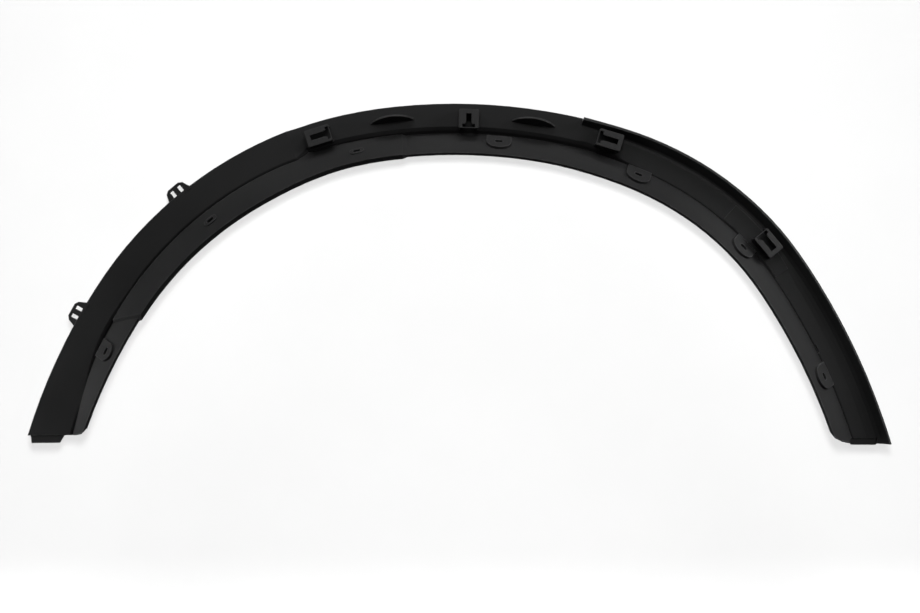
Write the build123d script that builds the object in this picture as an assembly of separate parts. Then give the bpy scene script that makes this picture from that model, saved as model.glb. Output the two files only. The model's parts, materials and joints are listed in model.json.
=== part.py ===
from build123d import *
import math
import os

# Wheel arch trim: one moulding in black plastic, drawn upright as it sits on the car.
# +X runs to the rear, +Z up, and -Y is the inner side that faces the body.
# Places on the trim are given by three lengths: "along" the outer edge from the crown
# (rear positive), "inward" from that edge, and "depth" from the crown panel (inner side negative).

# Outer edge: tangent arcs from the crown down to each end
crown_radius = 552.0
crown_front_sweep = 8.5
crown_rear_sweep = 19.0
front_shoulder_radius = 386.0
front_shoulder_sweep = 49.2
front_leg_radius = 591.0
rear_shoulder_radius = 325.0
rear_shoulder_sweep = 37.5
rear_leg_radius = 652.0
body_side_radius = 4000.0
front_end_drop = 329.4
rear_end_drop = 337.7
front_end_tilt = 10.0
rear_end_tilt = 13.0
front_corner_radius = 3.2
rear_corner_radius = 6.0

# Wall and flange
wall = 2.8
edge_radius = 2.2
edge_break = 0.5
bend_radius = 2.0
flange_depth = 30.0
flange_reach_crown = 52.5
flange_reach_ends = 55.5
reach_change_start = 90.0
reach_change_end = 240.0

# Fold line, where the flange would meet the crown panel's level, inward from the edge
crown_fold = 32.5
front_fold = 29.3
front_fold_start = -100.0
front_fold_full = -230.0
front_end_fold = 39.5
front_widening_start = -470.0
front_widening_end = -585.0
rear_fold = 33.2
rear_change_length = 120.0

# Groove between panel and flange, for each stretch
crown_groove_width = 7.5
crown_groove_depth = 4.2
front_groove_width = 4.6
front_groove_depth = 2.6
front_groove_fade = -472.0
front_groove_end = -505.0
rear_groove_width = 1.2
rear_groove_depth = 0.5
rear_groove_change = 80.0
groove_foot = 0.85

# Front stretch, set in towards the body by a joggle
joggle = 5.0
joggle_top = -157.0
joggle_length = 14.0

# Rear stretch: edge turned up to the body as a sloping lip, with a channel at its foot
lip_start = 130.0
lip_height = 9.0
lip_top = 2.4
lip_foot = 9.2
lip_start_foot = 5.4
lip_widening_start = 142.0
lip_widening_end = 182.0
channel_width = 2.6
channel_depth = 1.2
low_channel_width = 7.8
low_foot_rise = 1.6
lip_change_start = 330.0
lip_change_end = 430.0

# Raised length of the flange
strip_front = -414.0
strip_front_skew = 22.0
strip_front_run_out = 3.0
strip_rear = -48.5
strip_rear_run_out = 7.0
strip_lift = 2.6
strip_overhang = 4.2
strip_top_gap = 0.6

# Clip towers: hollow boxes with a keyhole slot for a slide-in clip
tower_height = 12.0
tower_wall = 2.2
tower_plate = 2.2
tower_draft = 2.0
tower_corner = 1.2
tower_root = 2.0
tower_length = 26.0
tower_width = 18.0
crown_tower_length = 20.0
crown_tower_width = 21.0
key_stem_width = 5.2
low_key_stem_width = 6.2
key_end_wall = 5.0
key_bar_width = 3.2
key_bar_length = 12.4
key_bridge = 1.4
key_flare_width = 1.6
key_flare_length = 4.0
tower_inward = 15.5
crown_tower_inward = 16.5
front_tower_along = -141.0
crown_tower_along = 15.0
rear_tower_along = 161.0
low_tower_along = 359.5
low_tower_inward = 18.5
low_land_start = 309.0
low_land_end = 394.0
land_lift = 0.7
land_margin = 1.0

# Screw pads on the flange, each with a slot for a screw
pad_places = (-466.5, -284.0, -105.0, 47.5, 201.5, 345.0, 507.0)
pad_width = 25.0
pad_lift = 2.6
pad_fold_gap = 1.0
front_pad_width = 19.0
strip_pad_length = 15.0
strip_pad_width = 10.0
strip_pad_lift = 1.2
slot_from_edge = 24.0
front_slot_from_edge = 18.0
strip_slot_from_edge = 17.0
slot_length = 8.0
slot_width = 4.6

# Half-moon locating fins
fin_places = (-64.0, 82.0)
fin_chord = 44.0
fin_height = 12.0
fin_thickness = 1.8
fin_lean = 20.0
fin_inward = 14.4

# Small pocket in the fold of the rear leg
pocket_along = 479.5
pocket_length = 9.5
pocket_width = 2.6
pocket_depth = 1.2

# Snap loops on the front outer edge
loop_places = (-293.5, -447.0)
loop_base = 26.0
loop_top = 18.0
loop_reach = 9.5
loop_thickness = 2.2
loop_corner = 2.5
loop_frame = 2.8
loop_bar = 5.2

# Tongues that enter the neighbouring panels
tongue_thickness = 1.6
tongue_setback = 0.9
tongue_root = 6.0
front_tongue_inward = 3.6
front_tongue_width = 32.5
front_tongue_reach = 7.5
front_tongue_tapers = (1.0, 4.5)
rear_tongue_inward = 13.0
rear_tongue_width = 26.0
rear_tongue_reach = 1.5
rear_tongue_tapers = (1.2, 1.2)
rear_lap = 5.0
lap_step = 0.1

# Modelling steps
station_step = 42.0
tangent_step = 1.0
run_out = 6.0
root_overlap = 1.4
setback = 0.5
bend_share = 0.42
bend_flats = 1
edge_flats = 2
leg_sweep = 90.0
corner_flats = 2
cut_margin = 3.0
halvings = 40

front_arcs = (
    (crown_radius, crown_front_sweep),
    (front_shoulder_radius, front_shoulder_sweep),
    (front_leg_radius, leg_sweep),
)
rear_arcs = (
    (crown_radius, crown_rear_sweep),
    (rear_shoulder_radius, rear_shoulder_sweep),
    (rear_leg_radius, leg_sweep),
)
joggle_foot = joggle_top - joggle_length


def edge_station(along):
    """Point and outward direction of the outer edge, in X and Z."""
    arcs, side = (rear_arcs, 1.0) if along >= 0 else (front_arcs, -1.0)
    x, z, heading, left = 0.0, 0.0, 0.0, abs(along)
    for radius, sweep in arcs:
        step = min(left, radius * math.radians(sweep))
        turned = heading + step / radius
        x += radius * (math.sin(turned) - math.sin(heading))
        z += radius * (math.cos(turned) - math.cos(heading))
        heading = turned
        left -= step
    return side * x, z, side * math.sin(heading), math.cos(heading)


def place(along, inward, depth):
    """A point of the trim, bent to the body side seen from above."""
    x, z, out_x, out_z = edge_station(along)
    x -= inward * out_x
    z -= inward * out_z
    sag = body_side_radius - math.sqrt(body_side_radius ** 2 - x ** 2)
    return Vector(x, depth - sag, z)


def blend(value, start, end, low, high):
    """Smooth change from low at start to high at end."""
    share = min(max((value - start) / (end - start), 0.0), 1.0)
    share = share * share * (3.0 - 2.0 * share)
    return low + (high - low) * share


def groove_sizes(stretch, along):
    """Groove width, groove depth and panel level at a station."""
    if stretch == "front":
        width = blend(along, front_groove_fade, front_groove_end, front_groove_width, rear_groove_width)
        depth = blend(along, front_groove_fade, front_groove_end, front_groove_depth, rear_groove_depth)
        return width, depth, -joggle
    if stretch == "crown":
        return crown_groove_width, crown_groove_depth, 0.0
    change_end = lip_start + rear_groove_change
    width = blend(along, lip_start, change_end, crown_groove_width, rear_groove_width)
    depth = blend(along, lip_start, change_end, crown_groove_depth, rear_groove_depth)
    return width, depth, 0.0


def flange_line(along):
    """Fold and free edge of the flange at a station, inward from the outer edge."""
    change_end = lip_start + rear_change_length
    fold = blend(along, lip_start, change_end, crown_fold, rear_fold)
    fold += blend(along, front_fold_start, front_fold_full, 0.0, front_fold - crown_fold)
    fold += blend(along, front_widening_start, front_widening_end, 0.0, front_end_fold - front_fold)
    reach = blend(abs(along), reach_change_start, reach_change_end,
                  flange_reach_crown, flange_reach_ends)
    return fold, reach


def inner_path(stretch, along):
    """Inner side of the section from the panel's edge round the groove to the flange's free edge."""
    groove, depth, level = groove_sizes(stretch, along)
    fold, reach = flange_line(along)
    slope = (reach - fold) / flange_depth
    panel_end = fold - level * slope - groove
    root = fold - (level + depth) * slope
    foot = panel_end + groove_foot * (root - panel_end)
    return [
        (panel_end, level), (foot, level + depth), (root, level + depth), (reach, -flange_depth),
    ]


def lip_path(along):
    """Inner side of the rear edge, from the top of the lip across the channel to the panel."""
    depth = blend(along, lip_change_start, lip_change_end, channel_depth, -low_foot_rise)
    width = blend(along, lip_change_start, lip_change_end, channel_width, low_channel_width)
    foot = blend(along, lip_widening_start, lip_widening_end, lip_start_foot, lip_foot)
    return [(lip_top, -lip_height), (foot, depth), (foot + width, 0.0)]


def unit(start, end):
    length = math.hypot(end[0] - start[0], end[1] - start[1])
    return (end[0] - start[0]) / length, (end[1] - start[1]) / length


def offset_path(path, distance):
    """The path moved sideways towards the outer face, with mitred corners."""
    moved = []
    for index, point in enumerate(path):
        before = unit(path[index - 1], point) if index else unit(point, path[1])
        after = unit(point, path[index + 1]) if index + 1 < len(path) else before
        lean = 1.0 + before[0] * after[0] + before[1] * after[1]
        moved.append((
            point[0] - distance * (before[1] + after[1]) / lean,
            point[1] + distance * (before[0] + after[0]) / lean,
        ))
    return moved


def bent_path(path, radius, flats):
    """The path with each corner bent round in a few flats."""
    bent = [path[0]]
    for before, corner, after in zip(path, path[1:], path[2:]):
        shortest = min(math.dist(before, corner), math.dist(corner, after))
        cut = min(radius, bend_share * shortest)
        back, forward = unit(corner, before), unit(corner, after)
        for index in range(flats + 1):
            enter = cut * (1.0 - index / flats) ** 2
            leave = cut * (index / flats) ** 2
            bent.append((
                corner[0] + enter * back[0] + leave * forward[0],
                corner[1] + enter * back[1] + leave * forward[1],
            ))
    return bent + [path[-1]]


def polygon_face(along, path):
    return Face(Wire.make_polygon([place(along, *point) for point in path], close=True))


def section(stretch, along):
    """Closed section of the moulding at a station."""
    inner = inner_path(stretch, along)
    level = inner[0][1]
    if stretch == "rear":
        inner = lip_path(along) + inner
        outer = offset_path(inner, wall)
    else:
        outer = [(0.0, level + edge_break)] + offset_path([(0.0, level)] + inner, wall)
        inner = [(edge_break, level)] + inner
    inner_side = bent_path(inner, bend_radius, bend_flats)
    outer_side = bent_path(outer, edge_radius, edge_flats)
    return polygon_face(along, inner_side + outer_side[::-1])


def stations(start, end):
    count = max(2, math.ceil(abs(end - start) / station_step) + 1)
    return [start + (end - start) * index / (count - 1) for index in range(count)]


def draw_plane(along, inward, depth):
    """Frame on the panel along the draw of the mould: x towards the rear end, z towards the body."""
    out_x, out_z = edge_station(along)[2:]
    return Plane(place(along, inward, depth), x_dir=(out_z, 0, -out_x), z_dir=(0, -1, 0))


def panel_plane(along, inward, depth):
    """Frame that lies on the panel: x towards the rear end, z off its inner face."""
    run = place(along + tangent_step, inward, depth) - place(along - tangent_step, inward, depth)
    rise = place(along, inward - tangent_step, depth) - place(along, inward + tangent_step, depth)
    return Plane(place(along, inward, depth), x_dir=run, z_dir=run.cross(rise))


def flange_plane(along, from_edge):
    """Frame on the flange: x towards the rear end, y up to the fold, z off its inner face."""
    root, tip = inner_path(stretch_of(along), along)[-2:]
    up = unit(tip, root)
    point = (tip[0] + from_edge * up[0], tip[1] + from_edge * up[1])
    run = place(along + tangent_step, *point) - place(along - tangent_step, *point)
    rise = place(along, *root) - place(along, *tip)
    return Plane(place(along, *point), x_dir=run, z_dir=run.cross(rise))


def stretch_of(along):
    if along >= lip_start:
        return "rear"
    return "crown" if along > joggle_foot else "front"


def level_of(along):
    return groove_sizes(stretch_of(along), along)[2]


def along_at_drop(arcs, drop):
    """Length of edge from the crown down to a given drop."""
    heading, length, left = 0.0, 0.0, drop
    for radius, sweep in arcs:
        fall = radius * (math.cos(heading) - math.cos(heading + math.radians(sweep)))
        if fall >= left:
            return length + radius * (math.acos(math.cos(heading) - left / radius) - heading)
        heading += math.radians(sweep)
        length += radius * math.radians(sweep)
        left -= fall
    return length


def shell():
    """The moulding's wall from end to end, before its features."""
    front_end = -along_at_drop(front_arcs, front_end_drop) - run_out
    rear_end = along_at_drop(rear_arcs, rear_end_drop) + run_out
    front = loft([section("front", s) for s in stations(front_end, joggle_foot)])
    ramp = loft([section("front", joggle_foot), section("crown", joggle_top)], ruled=True)
    crown = loft([section("crown", s) for s in stations(joggle_top, lip_start)])
    rear = loft([section("rear", s) for s in stations(lip_start, rear_end)])
    return front + ramp + crown + rear


def strip_point(stretch, along, run, rise):
    """A point of the raised length: down the flange from its root, and off its inner face."""
    root, tip = inner_path(stretch, along)[-2:]
    down = unit(root, tip)
    return root[0] + run * down[0] + rise * down[1], root[1] + run * down[1] - rise * down[0]


def strip_face(stretch, along, lift, overhang):
    """Section of the raised length of the flange, rooted in the wall."""
    length = math.dist(*inner_path(stretch, along)[-2:])
    under = setback - wall
    corners = (
        (strip_top_gap, -wall / 2),
        (strip_top_gap, lift),
        (length + overhang, lift),
        (length + overhang, under),
        (length - wall, under),
    )
    return polygon_face(along, [strip_point(stretch, along, *corner) for corner in corners])


def strip_end():
    """Plane that slants the front end of the raised length."""
    far = strip_front - strip_front_skew
    length = math.dist(*inner_path("front", strip_front)[-2:])
    top = place(far, *strip_point("front", far, strip_top_gap, strip_lift))
    edge = place(strip_front, *strip_point("front", strip_front, length, strip_lift))
    foot_along = far - strip_front_run_out
    foot = place(foot_along, *strip_point("front", foot_along, strip_top_gap, 0.0))
    return Plane(top, x_dir=edge - top, z_dir=(edge - top).cross(foot - top))


def raised_strip():
    """Thickened length of the flange, cut at a slant in front and run out at the crown."""
    full = {"lift": strip_lift, "overhang": strip_overhang}
    sunk = {"lift": -setback, "overhang": -setback}
    front_full = strip_front - 2 * strip_front_skew
    rear_full = strip_rear - strip_rear_run_out
    front = loft([strip_face("front", s, **full) for s in stations(front_full, joggle_foot)])
    crown = loft([strip_face("crown", s, **full) for s in stations(joggle_top, rear_full)])
    ramps = (
        (("front", joggle_foot, full), ("crown", joggle_top, full)),
        (("crown", rear_full, full), ("crown", strip_rear, sunk)),
    )
    strip = split(front, bisect_by=strip_end(), keep=Keep.TOP) + crown
    for ends in ramps:
        strip += loft([strip_face(stretch, s, **sizes) for stretch, s, sizes in ends], ruled=True)
    return strip


def clip_tower(along, inward, length, width, stem_width, turn):
    """Hollow tower, open at its mouth and under its keyhole plate."""
    frame = Plane(draw_plane(along, inward, level_of(along)) * Rot(0, 0, turn))
    outline = Rectangle(length, width)
    outline = chamfer(outline.vertices(), tower_corner)
    deep = frame.offset(-2 * wall)
    block = extrude(deep * outline, amount=tower_height + 2 * wall, taper=tower_draft)
    hollow = extrude(
        deep * Pos(tower_wall, 0) * Rectangle(length, width - 2 * tower_wall),
        amount=tower_height - tower_plate + 2 * wall,
    )
    bar_x = length / 2 - key_bridge - key_bar_width / 2
    stem_start = key_end_wall - length / 2
    key = Pos(bar_x, 0) * Rectangle(key_bar_width, key_bar_length)
    key += Pos((stem_start + bar_x) / 2, 0) * Rectangle(bar_x - stem_start, stem_width)
    flare_start, half = bar_x - key_flare_length, stem_width / 2
    key += Polygon(
        (flare_start, -half), (bar_x, -half - key_flare_width),
        (bar_x, half + key_flare_width), (flare_start, half),
        align=None,
    )
    keyhole = extrude(frame.offset(tower_height) * key, amount=-2 * tower_plate)
    foot = panel_plane(along, inward, level_of(along) + tower_root)
    return split(block - hollow - keyhole, bisect_by=foot, keep=Keep.TOP)


def low_tower_land():
    """Slightly raised land that the low tower stands on."""
    faces = []
    for s in stations(low_land_start, low_land_end):
        start = lip_path(s)[-1][0] + land_margin
        end = inner_path("rear", s)[0][0] - land_margin
        corners = ((start, -land_lift), (end, -land_lift), (end, wall / 2), (start, wall / 2))
        faces.append(polygon_face(s, corners))
    return loft(faces)


def pad_sizes(along):
    """A pad's width if it is half-round, its lift, and its slot's distance from the free edge."""
    if strip_front < along < strip_rear:
        return None, strip_lift + strip_pad_lift, strip_slot_from_edge
    if stretch_of(along) == "front":
        return front_pad_width, pad_lift, front_slot_from_edge
    return pad_width, pad_lift, slot_from_edge


def screw_pad(along):
    """Half-round pad with its straight side to the fold, or a small oval one on the raised length."""
    width, lift, from_edge = pad_sizes(along)
    if width is None:
        outline = SlotOverall(strip_pad_length, strip_pad_width)
    else:
        root, tip = inner_path(stretch_of(along), along)[-2:]
        fold_share = (level_of(along) - tip[1]) / (root[1] - tip[1])
        top = fold_share * math.dist(root, tip) - from_edge - pad_fold_gap
        outline = Circle(width / 2)
        outline &= Pos(0, top - width) * Rectangle(width, 2 * width)
        outline += Pos(0, top / 2) * Rectangle(width, top)
    foot = flange_plane(along, from_edge).offset(-root_overlap)
    return extrude(foot * outline, amount=root_overlap + lift, taper=tower_draft)


def screw_slot(along):
    lift, from_edge = pad_sizes(along)[1:]
    top = flange_plane(along, from_edge).offset(lift + root_overlap)
    slot = SlotOverall(slot_length, slot_width)
    return extrude(top * slot, amount=-(lift + 2 * root_overlap + wall))


def locating_fin(along):
    """Half-moon fin that leans outward from the panel."""
    frame = draw_plane(along, fin_inward, 0.0) * Rot(90.0 - fin_lean, 0, 0)
    radius = (fin_chord ** 2 / 4 + fin_height ** 2) / (2 * fin_height)
    moon = Pos(0, fin_height - radius) * Circle(radius)
    moon &= Pos(0, fin_height - root_overlap) * Rectangle(2 * fin_chord, 2 * fin_height)
    return extrude(frame * moon, amount=fin_thickness / 2, both=True)


def fold_pocket():
    """Shallow pocket at the foot of the rear leg's flange."""
    start, level = inner_path("rear", pocket_along)[0]
    top = draw_plane(pocket_along, start, level).offset(root_overlap)
    return extrude(top * Rectangle(pocket_length, pocket_width), amount=-root_overlap - pocket_depth)


def snap_loop(along):
    """Flat loop on the outer edge, with two windows."""
    frame = draw_plane(along, 0.0, level_of(along))
    shoulder = loop_reach - loop_corner
    side = loop_top / 2 + (loop_base - loop_top) / 2 * loop_corner / loop_reach
    end = loop_top / 2 - loop_corner
    outline = Polygon(
        (-loop_base / 2, -wall), (loop_base / 2, -wall), (loop_base / 2, 0),
        (side, shoulder), (end, loop_reach), (-end, loop_reach), (-side, shoulder),
        (-loop_base / 2, 0),
        align=None,
    )
    window_width = (loop_top - 2 * loop_frame - loop_bar) / 2
    window_height = loop_reach - loop_frame
    for side in (-1, 1):
        centre = side * (loop_bar + window_width) / 2
        outline -= Pos(centre, window_height / 2) * Rectangle(window_width, window_height)
    back = frame.offset(-(wall + loop_thickness) / 2)
    return extrude(back * outline, amount=loop_thickness)


def tongue_frame(side, arcs, drop, level, inward, width):
    """Frame at the end of a leg: x towards the rear, y up, z off the panel's inner face."""
    along = side * along_at_drop(arcs, drop)
    start, end = place(along, inward, level), place(along, inward + width, level)
    middle = (start + end) / 2
    across = (end - start) * -side
    across = Vector(across.X, across.Y, 0)
    return Plane((middle.X, middle.Y, -drop), x_dir=across, z_dir=across.cross(Vector(0, 0, 1)))


def end_tongue(frame, side, width, reach, tapers):
    """Plate that runs on below the end of a leg, set back from its panel's inner face."""
    outer_taper, inner_taper = tapers
    outline = Polygon(
        (side * (width / 2 - outer_taper), -reach), (side * width / 2, 0),
        (side * width / 2, tongue_root), (-side * width / 2, tongue_root),
        (-side * width / 2, 0), (side * (inner_taper - width / 2), -reach),
        align=None,
    )
    back = frame.offset(-tongue_setback - tongue_thickness)
    return extrude(back * outline, amount=tongue_thickness, dir=frame.z_dir)


def lap(frame, width):
    """Block in front of a tongue's root, where the next panel laps over it."""
    below = cut_margin * tongue_root
    outline = Pos(0, (rear_lap - below) / 2) * Rectangle(width, rear_lap + below)
    return extrude(frame.offset(lap_step - tongue_setback) * outline, amount=lip_height)


def leg_cut(side, arcs, drop):
    """Block below the level where a leg is cut off."""
    size = along_at_drop(arcs, drop)
    return Pos(side * size / 2, 0, -drop - size / 2) * Box(size, size, size)


def flange_hinge(side, arcs, drop):
    """Point at the foot of a leg's flange, where its slanted end begins."""
    along = side * along_at_drop(arcs, drop)
    x, out_x = edge_station(along)[0::2]
    start, level = inner_path(stretch_of(along), along)[0]
    return Vector(x - start / out_x, place(along, start, level).Y, -drop)


def flange_cut(side, arcs, drop, tilt):
    """Block below the slanted end of a leg's flange."""
    size = cut_margin * flange_depth
    below = Location(flange_hinge(side, arcs, drop)) * Rot(-tilt, 0, 0)
    return below * Pos(-side * size / 2, -size / 2, -size / 2) * Box(size, size, size)


def free_corner(side, arcs, drop, tilt):
    """Length along the edge at which the flange's free edge meets its slanted end."""
    low, high = 0.0, along_at_drop(arcs, drop)
    hinge = flange_hinge(side, arcs, drop)
    for _ in range(halvings):
        middle = (low + high) / 2
        tip = place(side * middle, flange_line(side * middle)[1], -flange_depth)
        floor = (hinge.Y - tip.Y) * math.tan(math.radians(tilt)) - drop
        low, high = (middle, high) if tip.Z > floor else (low, middle)
    return side * low


def corner_cuts(side, arcs, drop, tilt, radius):
    """Blocks that round the free corner of a leg's flange in a few flats."""
    along = free_corner(side, arcs, drop, tilt)
    reach = flange_line(along)[1]
    corner = place(along, reach, -flange_depth)
    up = place(along - side * tangent_step, reach, -flange_depth) - corner
    rising, level = math.atan2(up.Z, up.X), (1 - side) * math.pi / 2
    middle, half = (rising + level) / 2, abs(rising - level) / 2
    block = cut_margin * radius
    away = radius / math.sin(half)
    cuts = []
    for index in range(corner_flats):
        turn = 2 * (index + 1) / (corner_flats + 1) - 1
        angle = middle + math.pi + turn * (math.pi / 2 - half)
        out = radius + block / 2
        x = corner.X + away * math.cos(middle) + out * math.cos(angle)
        z = corner.Z + away * math.sin(middle) + out * math.sin(angle)
        cuts.append(Location((x, corner.Y, z), (0, -math.degrees(angle), 0)) * Box(block, 2 * block, block))
    return cuts


towers = (
    (front_tower_along, tower_inward, tower_length, tower_width, key_stem_width, 0.0),
    (crown_tower_along, crown_tower_inward, crown_tower_length, crown_tower_width, key_stem_width, -90.0),
    (rear_tower_along, tower_inward, tower_length, tower_width, key_stem_width, 180.0),
    (low_tower_along, low_tower_inward, tower_length, tower_width, low_key_stem_width, 180.0),
)
features = [raised_strip(), low_tower_land()]
features += [clip_tower(*tower) for tower in towers]
features += [screw_pad(along) for along in pad_places]
features += [locating_fin(along) for along in fin_places]
features += [snap_loop(along) for along in loop_places]
front_end = (-1, front_arcs, front_end_drop)
rear_end = (1, rear_arcs, rear_end_drop)
front_frame = tongue_frame(*front_end, -joggle, front_tongue_inward, front_tongue_width)
rear_frame = tongue_frame(*rear_end, 0.0, rear_tongue_inward, rear_tongue_width)
features += [
    end_tongue(front_frame, -1, front_tongue_width, front_tongue_reach, front_tongue_tapers),
    end_tongue(rear_frame, 1, rear_tongue_width, rear_tongue_reach, rear_tongue_tapers),
]
trim = shell() - leg_cut(*front_end) - leg_cut(*rear_end)
trim += features
trim -= [screw_slot(along) for along in pad_places] + [fold_pocket()]
trim -= [flange_cut(*front_end, front_end_tilt), flange_cut(*rear_end, rear_end_tilt)]
trim -= corner_cuts(*front_end, front_end_tilt, front_corner_radius)
trim -= corner_cuts(*rear_end, rear_end_tilt, rear_corner_radius)
trim -= lap(rear_frame, rear_tongue_width)

seat = place(crown_tower_along, crown_tower_inward, -tower_height)
trim = Location(-seat) * trim

os.makedirs("parts", exist_ok=True)
export_step(trim, "parts/wheel_arch_trim.step")
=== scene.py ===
import json
import math

import bpy
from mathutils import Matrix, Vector


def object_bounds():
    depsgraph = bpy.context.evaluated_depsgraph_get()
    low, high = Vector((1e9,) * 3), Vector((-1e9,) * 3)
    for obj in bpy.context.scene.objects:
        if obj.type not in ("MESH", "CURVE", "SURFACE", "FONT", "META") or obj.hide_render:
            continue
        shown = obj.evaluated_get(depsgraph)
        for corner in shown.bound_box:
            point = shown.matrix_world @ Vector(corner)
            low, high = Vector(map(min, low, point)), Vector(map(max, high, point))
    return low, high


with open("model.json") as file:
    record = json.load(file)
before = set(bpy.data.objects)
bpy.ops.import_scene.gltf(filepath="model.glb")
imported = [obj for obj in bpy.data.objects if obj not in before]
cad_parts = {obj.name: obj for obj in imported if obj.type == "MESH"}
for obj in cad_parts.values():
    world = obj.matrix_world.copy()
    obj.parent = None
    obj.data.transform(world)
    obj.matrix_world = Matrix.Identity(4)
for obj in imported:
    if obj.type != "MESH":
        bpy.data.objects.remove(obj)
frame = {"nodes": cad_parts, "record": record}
cadBox = [list(corner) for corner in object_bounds()]
print("frame loaded:", ", ".join(sorted(frame["nodes"])))

# small helpers for node trees

mixSockets = {"RGBA": (6, 7, 2), "FLOAT": (2, 3, 0)}  # a Mix node's two inputs and its result


def addNode(tree, kind, settings=None, inputs=None):
    node = tree.nodes.new(kind)
    for name, value in (settings or {}).items():
        setattr(node, name, value)
    for name, value in (inputs or {}).items():
        if isinstance(value, bpy.types.NodeSocket):
            tree.links.new(value, node.inputs[name])
        else:
            node.inputs[name].default_value = value
    return node


def mathNode(tree, operation, first, second=0.0):
    return addNode(tree, "ShaderNodeMath", {"operation": operation}, {0: first, 1: second}).outputs[0]


def vectorNode(tree, operation, first, second=(0.0, 0.0, 0.0)):
    node = addNode(tree, "ShaderNodeVectorMath", {"operation": operation}, {0: first, 1: second})
    return node.outputs["Value" if operation == "LENGTH" else "Vector"]


def mixNode(tree, kind, factor, first, second, blend="MIX"):
    firstIn, secondIn, result = mixSockets[kind]
    settings = {"data_type": kind, "blend_type": blend}
    inputs = {"Factor": factor, firstIn: first, secondIn: second}
    return addNode(tree, "ShaderNodeMix", settings, inputs).outputs[result]


def mapRange(tree, value, fromMin, fromMax, toMin=0.0, toMax=1.0):
    settings = {"interpolation_type": "SMOOTHSTEP"}
    inputs = {"Value": value, "From Min": fromMin, "From Max": fromMax, "To Min": toMin, "To Max": toMax}
    return addNode(tree, "ShaderNodeMapRange", settings, inputs).outputs["Result"]


def splitAxes(tree, vector):
    return addNode(tree, "ShaderNodeSeparateXYZ", None, {"Vector": vector}).outputs


def newGroup(name, inputs, outputs):
    group = bpy.data.node_groups.new(name, "ShaderNodeTree")
    for socketName, kind, default in inputs:
        socket = group.interface.new_socket(socketName, in_out="INPUT", socket_type=kind)
        if default is not None:
            socket.default_value = default
    for socketName in outputs:
        group.interface.new_socket(socketName, in_out="OUTPUT", socket_type="NodeSocketFloat")
    return group, group.nodes.new("NodeGroupInput").outputs, group.nodes.new("NodeGroupOutput").inputs


def placeGroup(tree, group, inputs):
    return addNode(tree, "ShaderNodeGroup", {"node_tree": group}, inputs).outputs


def newMaterial(name):
    material = bpy.data.materials.new(name)
    material.use_nodes = True
    tree = material.node_tree
    tree.nodes.clear()
    return material, tree, tree.nodes.new("ShaderNodeOutputMaterial").inputs["Surface"]


# pebbled grain that a mould's etched face leaves, with fine tooth between the pebbles

grainShape = {
    "pebblesPerMetre": 900.0,
    "pebbleSmoothness": 0.6,
    "pebbleTop": 0.1,
    "pebbleFoot": 0.75,
    "tooth": 0.25,
    "toothPerPebble": 3.4,
    "toothDetail": 2.0,
}


def makeMouldGrain():
    shape = grainShape
    group, given, put = newGroup(
        "mouldGrain",
        [
            ("Vector", "NodeSocketVector", None),
            ("Pebbles per metre", "NodeSocketFloat", shape["pebblesPerMetre"]),
            ("Tooth", "NodeSocketFloat", shape["tooth"]),
        ],
        ["Height", "Pits"],
    )
    cells = addNode(group, "ShaderNodeTexVoronoi", {"feature": "SMOOTH_F1"}, {
        "Vector": given["Vector"],
        "Scale": given["Pebbles per metre"],
        "Smoothness": shape["pebbleSmoothness"],
    })
    tooth = addNode(group, "ShaderNodeTexNoise", None, {
        "Vector": given["Vector"],
        "Scale": mathNode(group, "MULTIPLY", given["Pebbles per metre"], shape["toothPerPebble"]),
        "Detail": shape["toothDetail"],
    })
    pebble = mapRange(group, cells.outputs["Distance"], shape["pebbleTop"], shape["pebbleFoot"], 1.0, 0.0)
    fine = mathNode(group, "MULTIPLY", tooth.outputs["Fac"], given["Tooth"])
    group.links.new(mathNode(group, "ADD", pebble, fine), put["Height"])
    group.links.new(mathNode(group, "SUBTRACT", 1.0, pebble), put["Pits"])
    return group


# slow drift and flow streaks, as the melt leaves them in a moulded face

flowShape = {
    "patchesPerMetre": 14.0,
    "driftDetail": 3.0,
    "streaksPerMetre": 160.0,
    "streakStretch": (1.0, 1.0, 0.12),
    "streakDetail": 4.0,
    "streakRoughness": 0.65,
}


def makeFlowMarks():
    shape = flowShape
    group, given, put = newGroup(
        "flowMarks",
        [
            ("Vector", "NodeSocketVector", None),
            ("Patches per metre", "NodeSocketFloat", shape["patchesPerMetre"]),
            ("Streaks per metre", "NodeSocketFloat", shape["streaksPerMetre"]),
        ],
        ["Drift", "Streaks"],
    )
    drift = addNode(group, "ShaderNodeTexNoise", None, {
        "Vector": given["Vector"],
        "Scale": given["Patches per metre"],
        "Detail": shape["driftDetail"],
    })
    stretched = addNode(group, "ShaderNodeMapping", None, {
        "Vector": given["Vector"],
        "Scale": shape["streakStretch"],
    })
    streaks = addNode(group, "ShaderNodeTexNoise", None, {
        "Vector": stretched.outputs["Vector"],
        "Scale": given["Streaks per metre"],
        "Detail": shape["streakDetail"],
        "Roughness": shape["streakRoughness"],
    })
    group.links.new(drift.outputs["Fac"], put["Drift"])
    group.links.new(streaks.outputs["Fac"], put["Streaks"])
    return group


# pale patch on the face a metal clip slides over: partly the rub the clip leaves, partly painted highlight
# on these tower tops

clipRubAndHighlightShape = {
    "reach": 0.018,
    "reachFade": 0.8,  # share of the reach where the pale patch starts to fade
    "depth": 0.001,
    "depthFade": 0.5,
    "inFace": (1.0, 0.0, 1.0),  # the pale faces look along Y
}


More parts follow.
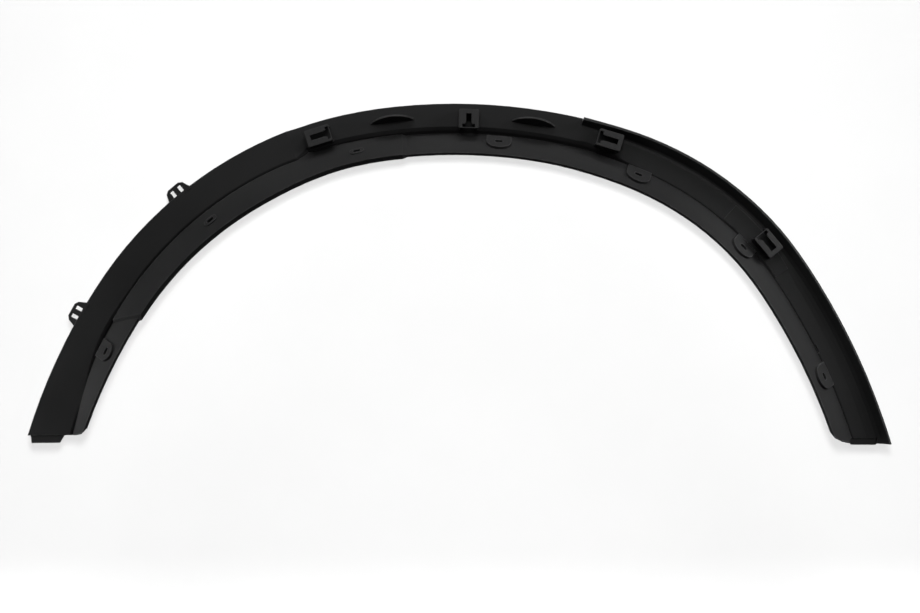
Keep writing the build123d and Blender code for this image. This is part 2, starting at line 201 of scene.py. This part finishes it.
def makeClipRub():
    shape = clipRubAndHighlightShape
    group, given, put = newGroup(
        "clipRub",
        [
            ("Vector", "NodeSocketVector", None),
            ("Clip", "NodeSocketVector", None),
            ("Reach", "NodeSocketFloat", shape["reach"]),
            ("Depth", "NodeSocketFloat", shape["depth"]),
        ],
        ["Rub"],
    )
    away = vectorNode(group, "SUBTRACT", given["Vector"], given["Clip"])
    sideways = vectorNode(group, "LENGTH", vectorNode(group, "MULTIPLY", away, shape["inFace"]))
    deep = mathNode(group, "ABSOLUTE", splitAxes(group, away)["Y"])
    near = mapRange(group, mathNode(group, "DIVIDE", sideways, given["Reach"]), 1.0, shape["reachFade"])
    level = mapRange(group, mathNode(group, "DIVIDE", deep, given["Depth"]), 1.0, shape["depthFade"])
    group.links.new(mathNode(group, "MULTIPLY", near, level), put["Rub"])
    return group


mouldGrain = makeMouldGrain()
flowMarks = makeFlowMarks()
clipRub = makeClipRub()
print("shader groups ready")

# black satin plastic: smooth on the body side, grained on the face seen on the car

trimPlastic = {
    "black": (0.0200, 0.0200, 0.0204, 1.0),
    "clouded": (0.0225, 0.0225, 0.0229, 1.0),
    "cloudDrift": (0.35, 0.65),
    # paler colour painted on convex edges: partly edge wear, partly painted highlight along the edges
    "edgeWearAndHighlight": (0.0680, 0.0680, 0.0686, 1.0),
    "edgeReach": 0.0013,
    "edgeSolid": (0.90, 0.58),  # share of inward rays that stay in the plastic, from flat face to edge
    "edgeStreaks": (0.40, 0.60, 0.5, 1.0),  # range of the streaks, then the share of the edge wear and painted edge highlight that they leave
    # paler colour painted on the clip seats: partly clip rub, partly painted highlight on these tower tops
    "clipRubbed": (0.0440, 0.0440, 0.0444, 1.0),
    "clipStreaks": (0.3, 0.6, 0.7, 1.0),
    "specularLevel": 0.30,
    "smoothDrift": (0.3, 0.7),
    "roughnessSmooth": (0.50, 0.62),
    "roughnessGrained": (0.60, 0.74),
    "grainFacing": (0.35, 0.70),  # how far a face looks outwards, from no grain to full grain
    "grainPerMetre": 1150.0,
    "grainDepth": 0.00007,
    "toothDepth": 0.000006,
    "edgeRadius": 0.0006,
    "edgeSamples": 8,
}


def makeTrimColour(tree, place, flow):
    look = trimPlastic
    cloud = mapRange(tree, flow["Drift"], *look["cloudDrift"])
    colour = mixNode(tree, "RGBA", cloud, look["black"], look["clouded"])
    settings = {"samples": look["edgeSamples"], "inside": True, "only_local": True}
    # convex edges are painted paler: partly edge wear, partly painted highlight along the edges
    solid = addNode(tree, "ShaderNodeAmbientOcclusion", settings, {"Distance": look["edgeReach"]})
    edge = mapRange(tree, solid.outputs["AO"], *look["edgeSolid"])
    edgeWearAndHighlight = mathNode(tree, "MULTIPLY", edge, mapRange(tree, flow["Streaks"], *look["edgeStreaks"]))
    colour = mixNode(tree, "RGBA", edgeWearAndHighlight, colour, look["edgeWearAndHighlight"])
    # the faces at each clip seat are painted paler: partly clip rub, partly painted highlight on the tower
    # tops
    seatStreaks = mapRange(tree, flow["Streaks"], *look["clipStreaks"])
    for mount in frame["record"]["mounts"]:
        if mount["kind"] == "slide":
            seatRubAndHighlight = placeGroup(tree, clipRub, {"Vector": place["Object"], "Clip": mount["pos_m"]})["Rub"]
            colour = mixNode(tree, "RGBA", mathNode(tree, "MULTIPLY", seatRubAndHighlight, seatStreaks), colour, look["clipRubbed"])
    return colour


def makeTrimPlastic():
    look = trimPlastic
    material, tree, surface = newMaterial("blackSatinPlastic")
    place = addNode(tree, "ShaderNodeTexCoord").outputs
    grained = mapRange(tree, splitAxes(tree, place["Normal"])["Y"], *look["grainFacing"])
    grain = placeGroup(tree, mouldGrain, {
        "Vector": place["Object"],
        "Pebbles per metre": look["grainPerMetre"],
    })
    flow = placeGroup(tree, flowMarks, {"Vector": place["Object"]})
    smooth = mapRange(tree, flow["Drift"], *look["smoothDrift"], *look["roughnessSmooth"])
    coarse = mapRange(tree, grain["Pits"], 0.0, 1.0, *look["roughnessGrained"])
    pebbleDepth = mathNode(tree, "MULTIPLY", grained, look["grainDepth"])
    pebbles = mathNode(tree, "MULTIPLY", grain["Height"], pebbleDepth)
    tooth = mathNode(tree, "MULTIPLY", flow["Streaks"], look["toothDepth"])
    settings = {"samples": look["edgeSamples"]}
    rounded = addNode(tree, "ShaderNodeBevel", settings, {"Radius": look["edgeRadius"]})
    bump = addNode(tree, "ShaderNodeBump", None, {
        "Strength": 1.0,
        "Distance": 1.0,
        "Height": mathNode(tree, "ADD", pebbles, tooth),
        "Normal": rounded.outputs["Normal"],
    })
    plastic = addNode(tree, "ShaderNodeBsdfPrincipled", None, {
        "Base Color": makeTrimColour(tree, place, flow),
        "Roughness": mixNode(tree, "FLOAT", grained, smooth, coarse),
        "Specular IOR Level": look["specularLevel"],
        "Normal": bump.outputs["Normal"],
    })
    tree.links.new(plastic.outputs["BSDF"], surface)
    return material


blackSatinPlastic = makeTrimPlastic()
trimNode = frame["nodes"]["wheel_arch_trim"]
trimNode.data.materials.clear()
trimNode.data.materials.append(blackSatinPlastic)
print("trim finished in", blackSatinPlastic.name)

# white sweep close behind the trim, curved into a pale floor well below it
# it is clear from behind, so that the outer side can be seen, and fades out far from the trim

studioSweep = {
    "gapBehind": 0.0015,
    "wallLean": 0.065,  # the wall runs this much further back for each metre down
    "wallTop": 3.0,
    "halfWidth": 4.0,
    "bendRadius": 0.22,
    "bendSteps": 16,
    "floorLevel": -0.66,
    "floorReach": -5.0,
    "behindReach": 5.0,
    "fade": (2.0, 2.9),
    "white": (0.45, 0.45, 0.45, 1.0),
    "mottleDrift": (0.2, 0.8),
    "mottle": (0.985, 1.0),
    "roughness": 0.85,
    "specularLevel": 0.1,
}


def makeSweepPaper():
    look = studioSweep
    material, tree, surface = newMaterial("whiteSweep")
    place = addNode(tree, "ShaderNodeTexCoord").outputs
    flow = placeGroup(tree, flowMarks, {"Vector": place["Object"]})
    shade = mapRange(tree, flow["Drift"], *look["mottleDrift"], *look["mottle"])
    paper = addNode(tree, "ShaderNodeBsdfPrincipled", None, {
        "Base Color": mixNode(tree, "RGBA", 1.0, look["white"], shade, "MULTIPLY"),
        "Roughness": look["roughness"],
        "Specular IOR Level": look["specularLevel"],
    })
    behind = addNode(tree, "ShaderNodeNewGeometry").outputs["Backfacing"]
    shadowRay = addNode(tree, "ShaderNodeLightPath").outputs["Is Shadow Ray"]
    farAway = mapRange(tree, vectorNode(tree, "LENGTH", place["Object"]), *look["fade"])
    seeThrough = mathNode(tree, "MAXIMUM", mathNode(tree, "MAXIMUM", behind, shadowRay), farAway)
    clear = addNode(tree, "ShaderNodeBsdfTransparent")
    mix = addNode(tree, "ShaderNodeMixShader", None, {
        0: seeThrough,
        1: paper.outputs["BSDF"],
        2: clear.outputs["BSDF"],
    })
    tree.links.new(mix.outputs["Shader"], surface)
    return material


def makeSweep():
    size = studioSweep
    radius, steps = size["bendRadius"], size["bendSteps"]
    floor, top, lean = size["floorLevel"], size["wallTop"], size["wallLean"]
    trimTop = cadBox[1][2]
    wallY = cadBox[1][1] + size["gapBehind"]
    bendY = wallY + lean * (trimTop - floor - radius) - radius
    profile = [(wallY + lean * (trimTop - top), top)]
    for step in range(steps + 1):
        angle = 0.5 * math.pi * step / steps
        profile.append((bendY + radius * math.cos(angle), floor + radius - radius * math.sin(angle)))
    profile.append((size["floorReach"], floor))
    rows = list(range(len(profile) - 1))
    rows.append(len(profile))  # the floor behind the wall is a strip of its own
    profile += [(size["behindReach"], floor), (bendY, floor)]
    points = [(side * size["halfWidth"], y, z) for y, z in profile for side in (-1, 1)]
    faces = [(2 * row + 2, 2 * row + 3, 2 * row + 1, 2 * row) for row in rows]
    mesh = bpy.data.meshes.new("studioSweep")
    mesh.from_pydata(points, [], faces)
    mesh.shade_smooth()
    mesh.materials.append(makeSweepPaper())
    sweep = bpy.data.objects.new("studioSweep", mesh)
    sweep.visible_diffuse = False
    sweep.visible_glossy = False
    bpy.context.scene.collection.objects.link(sweep)
    return sweep


sweep = makeSweep()
print("sweep in place")

# dim room round the trim, a little lighter to the sides and lightest behind it

dimRoom = {
    "front": 0.012,
    "side": 0.03,
    "sideStart": (-0.95, -0.45),  # each pair of directions is where a level starts and where it is full
    "sideEnd": (0.1, -0.15),
    "below": 0.30,
    "belowEnd": (-0.5, 0.15),
    "back": 0.30,
    "backStart": (0.62, 0.85),
    "backdrop": 0.975,
    "white": (1.0, 1.0, 1.0, 1.0),
}


def lightRoom():
    room = dimRoom
    world = bpy.data.worlds.new("dimRoom")
    world.use_nodes = True
    bpy.context.scene.world = world
    tree = world.node_tree
    axes = splitAxes(tree, addNode(tree, "ShaderNodeTexCoord").outputs["Generated"])
    front = mapRange(tree, axes["Y"], *room["sideStart"], room["front"], room["side"])
    front = mathNode(tree, "MULTIPLY", front, mapRange(tree, axes["Y"], *room["sideEnd"]))
    upward = mapRange(tree, axes["Z"], *room["belowEnd"], room["below"], 1.0)
    back = mapRange(tree, axes["Y"], *room["backStart"], 0.0, room["back"])
    level = mathNode(tree, "ADD", mathNode(tree, "MULTIPLY", front, upward), back)
    seen = addNode(tree, "ShaderNodeLightPath").outputs["Is Camera Ray"]
    background = tree.nodes["Background"]
    background.inputs["Color"].default_value = room["white"]
    tree.links.new(mixNode(tree, "FLOAT", seen, level, room["backdrop"]), background.inputs["Strength"])
    bpy.context.scene.view_settings.view_transform = "Standard"


# lamps that light only the sweep: the key stands just above the camera and drops the trim's soft shadow

sweepLight = {
    "sweepKey": {
        "at": (0.0, -1.29, 0.02), "size": (0.10, 0.17), "watts": 11.5,
        "aim": (0.0, 0.0, -0.19), "beam": 180.0, "gloss": True,
    },
    "suns": {
        "sweepFill": {"strength": 4.8, "spread": 20.0, "above": 0.0, "shadow": False},
        "sweepTop": {"strength": 6.7, "spread": 30.0, "above": 90.0, "shadow": True},
    },
    "sunDistance": 3.0,
}

# softboxes that light only the trim, mostly from above and beside it, with two for its outer face

softboxes = {
    "forwardSoftbox": {
        "at": (0.0, -1.14, 0.63), "size": (0.5, 0.2), "watts": 2.50,
        "aim": (0.0, 0.0, 0.0), "beam": 180.0, "gloss": True,
    },
    "steepSoftbox": {
        "at": (0.0, -0.25, 0.95), "size": (0.9, 0.4), "watts": 4.00,
        "aim": (0.0, 0.0, 0.0), "beam": 180.0, "gloss": True,
    },
    "frontShoulderSoftbox": {
        "at": (-0.55, -0.45, 0.55), "size": (0.35, 0.25), "watts": 0.34,
        "aim": (-0.27, 0.0, -0.07), "beam": 90.0, "gloss": True,
    },
    "frontLegSoftbox": {
        "at": (-1.05, -0.30, -0.30), "size": (0.4, 0.5), "watts": 1.40,
        "aim": (-0.45, 0.0, -0.55), "beam": 80.0, "gloss": True,
    },
    "rearSoftbox": {  # with gloss it would glint along the rear lip, seen from behind
        "at": (1.10, -0.35, 0.30), "size": (0.4, 0.4), "watts": 6.50,
        "aim": (0.1, 0.0, -0.05), "beam": 180.0, "gloss": False,
    },
    "rearLegSoftbox": {
        "at": (0.95, -0.25, 0.25), "size": (0.35, 0.35), "watts": 0.29,
        "aim": (0.40, 0.0, -0.25), "beam": 55.0, "gloss": True,
    },
    "rearLegFill": {
        "at": (0.60, -1.00, 0.20), "size": (0.3, 0.3), "watts": 0.14,
        "aim": (0.38, 0.0, -0.25), "beam": 40.0, "gloss": True,
    },
    "outerKeySoftbox": {
        "at": (-0.60, 1.20, 0.45), "size": (0.8, 0.5), "watts": 16.00,
        "aim": (0.0, 0.0, -0.15), "beam": 180.0, "gloss": True,
    },
    "outerFillSoftbox": {
        "at": (0.95, 0.90, 0.10), "size": (0.5, 0.5), "watts": 6.00,
        "aim": (0.0, 0.0, -0.15), "beam": 180.0, "gloss": True,
    },
}


def placeLamp(lamp, at, source, receiver):
    lamp.location = at
    lamp.rotation_mode = "QUATERNION"
    lamp.rotation_quaternion = source.to_track_quat("Z", "Y")  # a lamp shines down its own Z
    bpy.context.scene.collection.objects.link(lamp)
    lit = bpy.data.collections.new(lamp.name + "Lights")
    lit.objects.link(receiver)
    lamp.light_linking.receiver_collection = lit


def addSun(name, setup, receiver):
    light = bpy.data.lights.new(name, "SUN")
    light.energy = setup["strength"]
    light.angle = math.radians(setup["spread"])
    light.use_shadow = setup["shadow"]
    rise = math.radians(setup["above"])
    source = Vector((0.0, -math.cos(rise), math.sin(rise)))
    placeLamp(bpy.data.objects.new(name, light), source * sweepLight["sunDistance"], source, receiver)


def addSoftbox(name, setup, receiver):
    light = bpy.data.lights.new(name, "AREA")
    light.shape = "RECTANGLE"
    light.size, light.size_y = setup["size"]
    light.energy = setup["watts"]
    light.spread = math.radians(setup["beam"])
    lamp = bpy.data.objects.new(name, light)
    lamp.visible_camera = False
    lamp.visible_glossy = setup["gloss"]
    placeLamp(lamp, setup["at"], Vector(setup["at"]) - Vector(setup["aim"]), receiver)


lightRoom()
addSoftbox("sweepKey", sweepLight["sweepKey"], sweep)
for lampName, lampSetup in sweepLight["suns"].items():
    addSun(lampName, lampSetup, sweep)
for lampName, lampSetup in softboxes.items():
    addSoftbox(lampName, lampSetup, trimNode)
print("lights on:", len(softboxes), "softboxes on the trim")

# camera square to the trim's inner side, as in the photo

photoCamera = {
    "axisX": -0.00875,
    "axisZ": -0.1863,
    "panelY": 0.012,
    "distance": 1.3,
    "pitch": 90.0,  # level, looking along Y
    "focalPixels": 1300.0,
    "frameWidthPixels": 920.0,
    "sensorWidth": 36.0,
}


def addCamera():
    setup = photoCamera
    lens = bpy.data.cameras.new("photoCamera")
    lens.sensor_fit = "HORIZONTAL"
    lens.sensor_width = setup["sensorWidth"]
    lens.lens = setup["focalPixels"] * setup["sensorWidth"] / setup["frameWidthPixels"]
    camera = bpy.data.objects.new("photoCamera", lens)
    camera.location = (setup["axisX"], setup["panelY"] - setup["distance"], setup["axisZ"])
    camera.rotation_euler = (math.radians(setup["pitch"]), 0.0, 0.0)
    bpy.context.scene.collection.objects.link(camera)
    bpy.context.scene.camera = camera


addCamera()
print("camera set")
